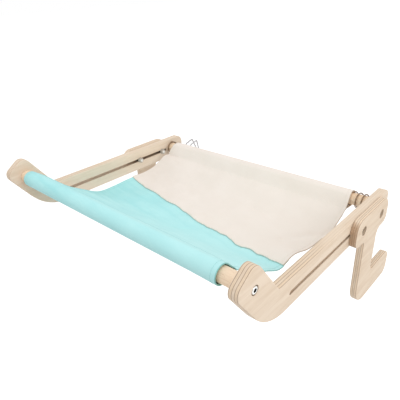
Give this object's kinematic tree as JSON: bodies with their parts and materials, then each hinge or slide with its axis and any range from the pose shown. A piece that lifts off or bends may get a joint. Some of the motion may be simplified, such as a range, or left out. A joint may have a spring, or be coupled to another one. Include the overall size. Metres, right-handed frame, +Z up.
{
  "type": "cat window perch",
  "caption": "Sling perch for a cat: slotted plywood arms with hook brackets that slide to grip a sill, and a canvas sling hung between wooden dowels.",
  "frame": {"origin": "midway between the two arms, on the plane of the right bracket leg's back face and of the bracket heads' undersides: where a sill's front top edge sits", "axes": "+X along the dowels to the right arm, +Y back towards the sill and window, +Z up"},
  "size_m": [0.5546, 0.4569, 0.2492],
  "materials": {
    "plywood": "clear-sealed birch plywood, satin",
    "dowel_wood": "sanded beech, satin",
    "aqua_canvas": "plain-weave canvas",
    "beige_canvas": "plain-weave canvas",
    "bright_steel": "zinc plated",
    "dark_steel": "black oxide",
    "insert_brass": "machined",
    "spring_wire": "drawn spring wire"
  },
  "bodies": {
    "frame": {"left_arm": "plywood", "right_arm": "plywood", "front_dowel": "dowel_wood", "rear_dowel": "dowel_wood", "sling_front": "aqua_canvas", "sling_rear": "beige_canvas", "left_spring": "spring_wire", "right_spring": "spring_wire", "wire_hook": "spring_wire", "front_left_bolt": "bright_steel", "front_right_bolt": "bright_steel", "rear_left_bolt": "bright_steel", "rear_right_bolt": "bright_steel", "front_left_insert": "insert_brass", "front_right_insert": "insert_brass", "rear_left_insert": "insert_brass", "rear_right_insert": "insert_brass"},
    "left_bracket": {"left_bracket": "plywood", "left_front_clamp_bolt": "dark_steel", "left_front_clamp_washer": "bright_steel", "left_front_clamp_nut": "bright_steel", "left_rear_clamp_bolt": "dark_steel", "left_rear_clamp_washer": "bright_steel", "left_rear_clamp_nut": "bright_steel"},
    "right_bracket": {"right_bracket": "plywood", "right_front_clamp_bolt": "dark_steel", "right_front_clamp_washer": "bright_steel", "right_front_clamp_nut": "bright_steel", "right_rear_clamp_bolt": "dark_steel", "right_rear_clamp_washer": "bright_steel", "right_rear_clamp_nut": "bright_steel"}
  },
  "joints": [
    {"name": "left_bracket_slide", "type": "slide", "parent": "frame", "child": "left_bracket", "axis": [0, -1, 0], "range_m": [-0.011, 0.187]},
    {"name": "right_bracket_slide", "type": "slide", "parent": "frame", "child": "right_bracket", "axis": [0, -1, 0], "range_m": [0, 0.198]}
  ]
}
